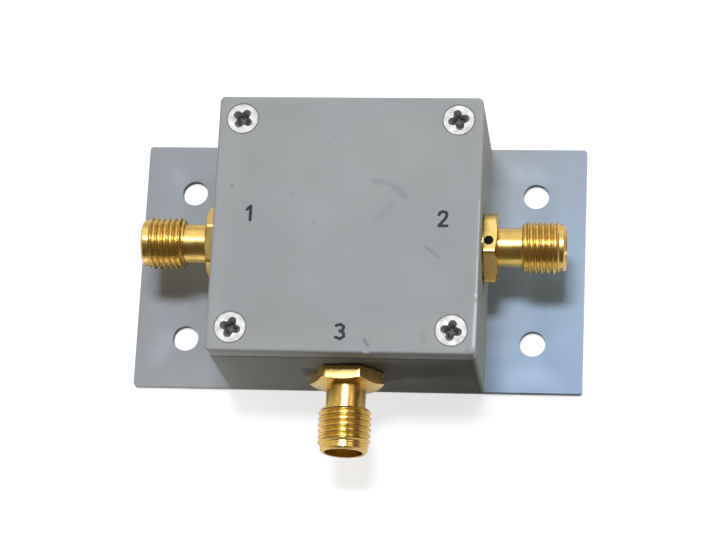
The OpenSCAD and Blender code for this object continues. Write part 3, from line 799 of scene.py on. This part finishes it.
def make_jack():
    """The body of a jack round local +Z, its wall at z = 0, with its thread and cross hole."""
    work = bmesh.new()
    spin(work, [(REAR_BORE_R, -ROOT_L), (THREAD_R - BREAK, -ROOT_L), (THREAD_R, -ROOT_L + BREAK),
                (THREAD_R, 0), (SEAT_R - FINE_BREAK, 0), (SEAT_R, FINE_BREAK),
                (SEAT_R, SEAT_T + HEX_BACK_BREAK), (NECK_R, HIDDEN_Z), (NECK_R, THREAD_Z),
                (THREAD_ROOT_R, THREAD_Z)], JACK_COLUMNS)
    spin(work, [(THREAD_ROOT_R, NOSE_Z), (THREAD_ROOT_R, JACK_LENGTH - BREAK),
                (THREAD_ROOT_R - BREAK + NOSE_BREAK_R, JACK_LENGTH - NOSE_BREAK_Z),
                (THREAD_ROOT_R - BREAK, JACK_LENGTH), (MOUTH_R + FINE_BREAK, JACK_LENGTH),
                (MOUTH_R, JACK_LENGTH - FINE_BREAK), (MOUTH_R, MOUTH_Z), (BORE_R, MOUTH_Z),
                (BORE_R, BORE_STEP_Z), (REAR_BORE_R, BORE_STEP_Z), (REAR_BORE_R, -ROOT_L)], JACK_COLUMNS)
    sleeve = thread_sleeve(THREAD_ROOT_R, THREAD_R - THREAD_ROOT_R, THREAD_PITCH, NOSE_Z - THREAD_Z,
                           JACK_COLUMNS, jack_gold)
    add_mesh(work, sleeve, THREAD_Z)
    body = close_up(work, "jack", jack_gold)
    cut_and_join(body, [("UNION", hexagon("hexagon", jack_gold)), ("DIFFERENCE", cross_drill())])
    mesh = body.data
    bpy.data.objects.remove(body)
    turned = mesh.attributes.new("turned", "FLOAT_VECTOR", "POINT")
    for point, value in zip(mesh.vertices, turned.data):
        value.vector = (math.hypot(point.co.x, point.co.y), point.co.z, 0)
    shade(mesh, soft=on_thread)
    return mesh


jack_mesh = make_jack()

# %% [markdown]
# Three jacks from one mesh
#
# The three jacks are the same part, screwed in until tight, so each ended at another turn. The mesh
# is copied and moved for each wall. The objects themselves stay at the origin, so a material that
# reads object coordinates still measures from the middle of the mixer.

# %% Place the jacks
jack_walls = {    # which way each jack points, and its turn in degrees
    "lo": ((-1, 0, 0), 224.2),
    "rf": ((1, 0, 0), 53.6),
    "if": ((0, -1, 0), 243.0),
}


def wall_matrix(outward, turn):
    """Maps a jack's local +Z to outward and its local +Y to up, on its wall, after its own turn."""
    outward, upward = Vector(outward), Vector((0, 0, 1))
    axes = Matrix((upward.cross(outward), upward, outward)).transposed().to_4x4()
    place = Matrix.Translation((outward * WALL_X + upward * JACK_Z) * MM)
    return place @ axes @ Matrix.Rotation(math.radians(turn), 4, "Z")


for port, (outward, turn) in jack_walls.items():
    name = port + "_jack_threaded"
    mesh = jack_mesh.copy()
    mesh.name = name
    mesh.transform(wall_matrix(outward, turn))
    piece = new_object(name, mesh)
    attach(piece, "root")
    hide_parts(port + "_jack_body")
    print(name, [round(v / MM, 2) for corner in (piece.bound_box[0], piece.bound_box[6]) for v in corner])

# %% [markdown]
# The cross recess of a screw
#
# The recess is wide at the top and tapers to a blunt point, as the driver's tip does. Four flat cuts
# could make a cross, but its ends would be square. So the driver's tip itself is built, a tapered
# cross whose wings have round ends, and it is later cut out of the head.

# %% Recess tool
RECESS_TAPER = 0.5          # size of the cross at its foot, as a share of that at the head's face
RECESS_FILLET = 0.12
FILLET_DIP = 0.3            # how near the fillet's middle comes to the cross's inner corner
WING_STEP = 30
ABOVE_HEAD = 0.2
TIP_SHARE = 1.15            # depth of the blunt point, as a share of the recess's depth
COVER_RECESS = (2.6, 1.0, 0.9)       # length, width and depth of the cross
BRACKET_RECESS = (2.0, 0.8, 0.65)


def cross_outline(length, width):
    """Outline of a four-winged cross with round wing ends and small fillets between the wings."""
    half, reach = width / 2, length / 2
    inner = half + RECESS_FILLET
    dip = half + RECESS_FILLET * FILLET_DIP
    points = []
    for wing in range(4):
        turn = math.radians(90 * wing)
        local = [(inner, -half)]
        for degrees in range(-90, 91, WING_STEP):
            angle = math.radians(degrees)
            local.append((reach - half + half * math.cos(angle), half * math.sin(angle)))
        local += [(inner, half), (dip, dip)]
        points += [(x * math.cos(turn) - y * math.sin(turn), x * math.sin(turn) + y * math.cos(turn))
                   for x, y in local]
    return points


def recess_tool(length, width, depth):
    """The driver's tip: a tapered cross from above the head down to its blunt end."""
    work = bmesh.new()
    outline = cross_outline(length, width)
    levels = [(1.0 + ABOVE_HEAD * (1 - RECESS_TAPER) / depth, ABOVE_HEAD), (RECESS_TAPER, -depth)]
    top, foot = [[work.verts.new((x * share * MM, y * share * MM, z * MM)) for x, y in outline]
                 for share, z in levels]
    work.faces.new(top)
    for k in range(len(outline)):
        following = (k + 1) % len(outline)
        work.faces.new((top[k], foot[k], foot[following], top[following]))
    tip = work.verts.new((0, 0, -depth * TIP_SHARE * MM))
    for k in range(len(outline)):
        work.faces.new((foot[(k + 1) % len(outline)], foot[k], tip))
    return close_up(work, "recess_tool", screw_nickel)


print("points round the cross:", len(cross_outline(*COVER_RECESS[:2])))

# %% [markdown]
# Flat-head screws
#
# Each screw has a cone under a flat head, a threaded shank and the cross recess. One function draws
# both sizes, and it also stores on each point of the recess how deep it is sunk, for the nickel.

# %% Screw shapes
SCREW_COLUMNS = 48
HEAD_SLOPE = 41                         # half the angle of the head's cone, in degrees
POINT_L, POINT_BREAK = 0.35, 0.2
NECK_GAP = 0.1                          # plain length between the thread and the head's cone
HEAD_EASE, HEAD_RIM_Z = 0.08, 0.12      # how far the rim is turned off, and its height
RIM_BREAK_R, RIM_BREAK_Z = 0.05, 0.06
CONE_START, FACE_INNER = 0.98, 0.8      # shares of the shank's and of the head's radius
SUNK_MIDDLE, SUNK_DEPTH = 0.75, 0.2     # darkness at the middle, and depth at which it is full
SUNK_REACH = 1.2                        # points count down to this share of the recess's depth


def store_depth(mesh, length, depth):
    """Stores how sunk each point of a recess looks, from 0 at the head's face to 1."""
    sunk = mesh.attributes.new("sunk", "FLOAT", "POINT")
    for point, value in zip(mesh.vertices, sunk.data):
        out = math.hypot(point.co.x, point.co.y) / MM
        if out < length / 2 and point.co.z > -SUNK_REACH * depth * MM:
            value.value = min(SUNK_MIDDLE + out, 1.0, -point.co.z / MM / SUNK_DEPTH)


def make_screw(name, length, thread_r, pitch, depth, head_r, recess):
    """A flat-head screw, its face at z = 0 and its point down; recess is (length, width, depth)."""
    cone_end = -(head_r - thread_r) / math.tan(math.radians(HEAD_SLOPE))
    root_r, rim_r = thread_r - depth, head_r - HEAD_EASE
    start, end = -length + POINT_L, cone_end - NECK_GAP
    work = bmesh.new()
    spin(work, [(0, -length), (root_r - POINT_BREAK, -length), (root_r, start)], SCREW_COLUMNS)
    add_mesh(work, thread_sleeve(root_r, depth, pitch, end - start, SCREW_COLUMNS, screw_nickel), start)
    spin(work, [(root_r, end), (thread_r * CONE_START, cone_end), (rim_r, -HEAD_RIM_Z), (rim_r, -RIM_BREAK_Z),
                (rim_r - RIM_BREAK_R, 0), (head_r * FACE_INNER, 0), (0, 0)], SCREW_COLUMNS)
    screw = close_up(work, name, screw_nickel)
    cut_and_join(screw, [("DIFFERENCE", recess_tool(*recess))])
    store_depth(screw.data, recess[0], recess[2])
    shade(screw.data)
    return screw


cover_screw = make_screw("cover_screw", length=6.35, thread_r=1.09, pitch=0.4536, depth=0.26,
                         head_r=1.95, recess=COVER_RECESS)
bracket_screw = make_screw("bracket_screw", length=3.6, thread_r=0.925, pitch=0.35, depth=0.2,
                           head_r=1.75, recess=BRACKET_RECESS)

# %% [markdown]
# Putting the screws in their holes
#
# Four screws hold the cover and two hold the bracket, and those of the cover each stopped at a turn
# of their own. A tree stands a copy on each point and turns it by a value stored on that point.
# Copying the object by hand would work for six, but the tree also serves a cover with more screws.

# %% Screw tree
SCREW_INSET = 2.875
SCREW_PLACE = WALL_X - SCREW_INSET
BRACKET_SCREW_Y, BRACKET_SCREW_TURN = 9.525, 30
FACE_DOWN = 180
cover_screw_turns = {(-1, 1): 55, (1, 1): 13, (1, -1): 79, (-1, -1): 72}


def build_screw_tree():
    """A copy of Screw on each point, turned by the point's own turn, made into one mesh."""
    tree, given = new_tree(
        "screws_on_points", "GeometryNodeTree",
        {"Geometry": "Geometry", "Screw": "Object", "Finish": "Material"}, {"Geometry": "Geometry"})
    turn = add(tree, "GeometryNodeInputNamedAttribute", {"Name": "turn"}, data_type="FLOAT_VECTOR")
    rotation = add(tree, "FunctionNodeEulerToRotation", {0: turn.outputs["Attribute"]})
    screw = add(tree, "GeometryNodeObjectInfo", {"Object": given["Screw"]})
    copies = add(tree, "GeometryNodeInstanceOnPoints", {
        "Points": given["Geometry"], "Instance": screw.outputs["Geometry"],
        "Rotation": rotation.outputs[0]})
    end_tree(tree, copies.outputs[0], given["Finish"])
    return tree


screw_tree = build_screw_tree()


def place_screws(name, screw, places, node):
    """Makes one piece of a screw at several places, each (x, y, z, tilt, turn) in mm and degrees."""
    points = bpy.data.meshes.new(name)
    points.from_pydata([Vector(place[:3]) * MM for place in places], [], [])
    turns = points.attributes.new("turn", "FLOAT_VECTOR", "POINT")
    for value, place in zip(turns.data, places):
        value.vector = (math.radians(place[3]), 0, math.radians(place[4]))
    mesh = run_tree(points, screw_tree, {"Screw": screw, "Finish": screw_nickel})
    piece = new_object(name, mesh)
    bpy.data.objects.remove(screw)
    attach(piece, "root")
    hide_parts(node)
    print(name, "faces:", len(mesh.polygons))


place_screws("cover_screws_cut", cover_screw,
             [(x * SCREW_PLACE, y * SCREW_PLACE, COVER_TOP, 0, turn)
              for (x, y), turn in cover_screw_turns.items()], "cover_screws")
place_screws("bracket_screws_cut", bracket_screw,
             [(0, y * BRACKET_SCREW_Y, 0, FACE_DOWN, BRACKET_SCREW_TURN) for y in (-1, 1)],
             "bracket_screws")

# %% [markdown]
# Eased edges
#
# No sawn or milled edge is truly sharp: it catches a thin line of light. The CAD model leaves these
# small breaks out, so a copy of each big piece is merged, cleaned of its triangles and bevelled
# only along the edges that need it. A Bevel modifier with a limit by angle would take every sharp
# edge alike.

# %% Ease the box, the cover and the bracket
FLAT_ANGLE, BEND_ANGLE = 0.5, 35           # faces that meet below the first become one, and edges
                                           # that bend past the second are eased, in degrees
WALL_BAND = 1.5                            # edges this near to the box's sides are outer ones
SAME_HEIGHT = 0.01
CAD_MERGE = 0.001                          # the CAD mesh's loose triangles join at this gap
HOLE_CLEAR = 1.5                           # outside the screw holes in the box's rim
COUNTERSINK_RIM, COUNTERSINK_CLEAR = 2.1, 2.2


def outer(co, z):
    """True near the box's outer walls at the height z."""
    return max(abs(co.x), abs(co.y)) > WALL_X - WALL_BAND and abs(co.z - z) < SAME_HEIGHT


def from_screw(co):
    """How far a point lies from the axis of the nearest cover screw."""
    return math.dist((abs(co.x), abs(co.y)), (SCREW_PLACE, SCREW_PLACE))


def on_rim(co):
    """True on the outer edges of the box's rim."""
    return outer(co, RIM_Z) and from_screw(co) > HOLE_CLEAR


def on_cover_edge(co):
    """True on the cover's lower outer edges and on the rims of its countersunk holes."""
    return (outer(co, RIM_Z) and from_screw(co) > COUNTERSINK_CLEAR
            or abs(co.z - COVER_TOP) < SAME_HEIGHT and from_screw(co) < COUNTERSINK_RIM)


def eased(name, node, finish, width, chosen):
    """Makes a copy of a CAD node with a small round on each sharp edge that chosen picks."""
    work = bmesh.new()
    work.from_mesh(nodes[node].data)
    bmesh.ops.remove_doubles(work, verts=work.verts, dist=CAD_MERGE * MM)
    bmesh.ops.dissolve_limit(work, angle_limit=math.radians(FLAT_ANGLE), verts=work.verts,
                             edges=work.edges)
    edges = [e for e in work.edges if e.is_manifold and e.calc_face_angle() > math.radians(BEND_ANGLE)
             and chosen(e.verts[0].co / MM) and chosen(e.verts[1].co / MM)]
    bmesh.ops.bevel(work, geom=edges, offset=width * MM, segments=3, profile=0.5, affect="EDGES",
                    clamp_overlap=True)
    piece = close_up(work, name, finish)
    shade(piece.data, angle=25)
    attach(piece, "root")
    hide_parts(node)
    print(name, "eased edges:", len(edges))


eased("box_shell", "housing", box_coat, 0.15, on_rim)
eased("cover_plate_eased", "cover_plate", cover_coat, 0.10, on_cover_edge)
eased("bracket_plate", "mounting_bracket", bracket_coat, 0.14, lambda co: True)

# %% [markdown]
# Floor and room
#
# The mixer lies on a plain pale floor. To the camera the floor and the room are white, apart from
# the mixer's own shadow. More light could make them white as well, but it would bleach the paint,
# so they glow towards the camera instead. Gloss sees a weaker glow and a dim room, because the
# gold in the photograph mirrors dark surroundings. Light that bounces off paint sees a black
# floor and a faint warm room, so the undersides stay dark.

# %% Floor
FLOOR_SIZE = 6.0     # metres
FLOOR_DROP = 0.02    # millimetres under the bracket, so that the two faces don't share a plane
SHADOW_SHARE, CAMERA_GLOW, GLOSS_GLOW, BOUNCE_SHARE = 0.60, 0.70, 0.35, 0.0


def ray_kinds(tree):
    """1 for camera rays, and 1 for rays that met gloss or went through glass."""
    rays = add(tree, "ShaderNodeLightPath").outputs
    return rays["Is Camera Ray"], calculate(tree, "MAXIMUM", rays["Is Glossy Ray"],
                                            rays["Is Transmission Ray"])


def weigh(tree, first, first_weight, second, second_weight, base=0.0):
    """first * first_weight + second * second_weight + base."""
    part = calculate(tree, "MULTIPLY_ADD", first, first_weight, base)
    return calculate(tree, "MULTIPLY_ADD", second, second_weight, part)


half = FLOOR_SIZE / 2
floor_mesh = bpy.data.meshes.new("floor")
floor_mesh.from_pydata([(-half, -half, 0), (half, -half, 0), (half, half, 0), (-half, half, 0)], [],
                       [(0, 1, 2, 3)])
floor = new_object("floor", floor_mesh)
floor.location = (0, 0, -FLOOR_DROP * MM)
floor_paint = bpy.data.materials.new("floor_paint")
floor_paint.use_nodes = True
floor_tree = floor_paint.node_tree
floor_tree.nodes.clear()
seen_ray, mirrored_ray = ray_kinds(floor_tree)
extra = SHADOW_SHARE - BOUNCE_SHARE
share = weigh(floor_tree, seen_ray, extra, mirrored_ray, extra, BOUNCE_SHARE)
paper = add(floor_tree, "ShaderNodeBsdfDiffuse", {
    "Color": add(floor_tree, "ShaderNodeCombineColor", {0: share, 1: share, 2: share}).outputs[0]})
glow = add(floor_tree, "ShaderNodeEmission", {
    "Color": (1, 1, 1, 1), "Strength": weigh(floor_tree, seen_ray, CAMERA_GLOW, mirrored_ray, GLOSS_GLOW)})
both = add(floor_tree, "ShaderNodeAddShader", {0: paper.outputs[0], 1: glow.outputs[0]})
add(floor_tree, "ShaderNodeOutputMaterial", {"Surface": both.outputs[0]})
floor.data.materials.append(floor_paint)
print("floor side, m:", FLOOR_SIZE, "nodes in its paint:", len(floor_tree.nodes))

# %% Room
ROOM_FILL, ROOM_GLOSS = 0.06, 0.05
WARM_FILL, WHITE_ROOM = (1.0, 0.80, 0.55, 1), (1, 1, 1, 1)
world = bpy.data.worlds.new("room")
bpy.context.scene.world = world
world.use_nodes = True
world_tree = world.node_tree
world_tree.nodes.clear()
seen_ray, mirrored_ray = ray_kinds(world_tree)
fill = add(world_tree, "ShaderNodeBackground", {"Color": WARM_FILL, "Strength": ROOM_FILL})
white = add(world_tree, "ShaderNodeBackground", {"Color": WHITE_ROOM, "Strength": 1.0})
mixed = add(world_tree, "ShaderNodeMixShader", {
    0: weigh(world_tree, seen_ray, 1.0, mirrored_ray, ROOM_GLOSS), 1: fill.outputs[0], 2: white.outputs[0]})
add(world_tree, "ShaderNodeOutputWorld", {"Surface": mixed.outputs[0]})
print("nodes in the room:", len(world_tree.nodes))

# %% [markdown]
# Lamps
#
# One lamp hangs high over the mixer and a little behind it, and casts the crisp shadows. It is wider
# than it is deep, so the left and right ends of a shadow are softer than its front. Wide weak lamps
# behind it and at either side fill in, in slightly different tints. Stronger world light could fill
# in too, but it comes from everywhere and would flatten the forms. Two cards low down light the
# front and the right side, as pale paper does beside a part. Neither shows in the picture or in
# gloss.

# %% Lamps
MIDDLE = (0, 0, 0.015)


def soft_lamp(name, place, target, width, depth, level, colour=(1, 1, 1)):
    """A rectangular lamp that lights a white surface at its target to about level; all in metres."""
    data = bpy.data.lights.new(name, "AREA")
    data.shape = "RECTANGLE"
    data.size, data.size_y = width, depth
    place, target = Vector(place), Vector(target)
    data.energy = level * math.pi ** 2 * (place - target).length_squared
    data.color = colour
    lamp = new_object(name, data)
    aim(lamp, place, target)
    print(name, "watts:", round(data.energy, 2))
    return lamp


soft_lamp("overhead_lamp", (-0.005, 0.132, 0.75), MIDDLE, 0.20, 0.11, 0.68, (0.77, 0.83, 1.0))
soft_lamp("rear_strip", (-0.08, 0.60, 0.42), MIDDLE, 0.26, 0.84, 0.165)
soft_lamp("left_strip", (-0.52, 0.15, 0.33), MIDDLE, 0.70, 0.22, 0.11, (1.0, 0.91, 0.77))
soft_lamp("rear_right_window", (0.45, 0.45, 0.40), MIDDLE, 0.30, 0.30, 0.06, (0.76, 0.90, 1.0))
soft_lamp("right_fill", (0.42, 0.10, 0.55), MIDDLE, 0.25, 0.25, 0.06, (1.0, 0.90, 0.74))
soft_lamp("rear_left_window", (-0.42, 0.50, 0.40), MIDDLE, 0.5, 0.5, 0.06, (0.62, 0.85, 1.0))
near_card = soft_lamp("near_card", (-0.035, -0.035, 0.004), (0.010, -0.030, 0.009), 0.012, 0.008, 0.33)
right_card = soft_lamp("right_card", (0.55, 0.10, 0.035), (0.016, 0, 0.010), 0.05, 0.20, 0.48,
                       (1.0, 0.99, 0.95))
for card in (near_card, right_card):
    card.visible_camera = False
    card.visible_glossy = False

# %% [markdown]
# Colours as written
#
# The Standard view shows a colour as it was written; a filmic view would look softer, but it would
# also grey the whites.

# %% Finish
bpy.context.scene.view_settings.view_transform = "Standard"
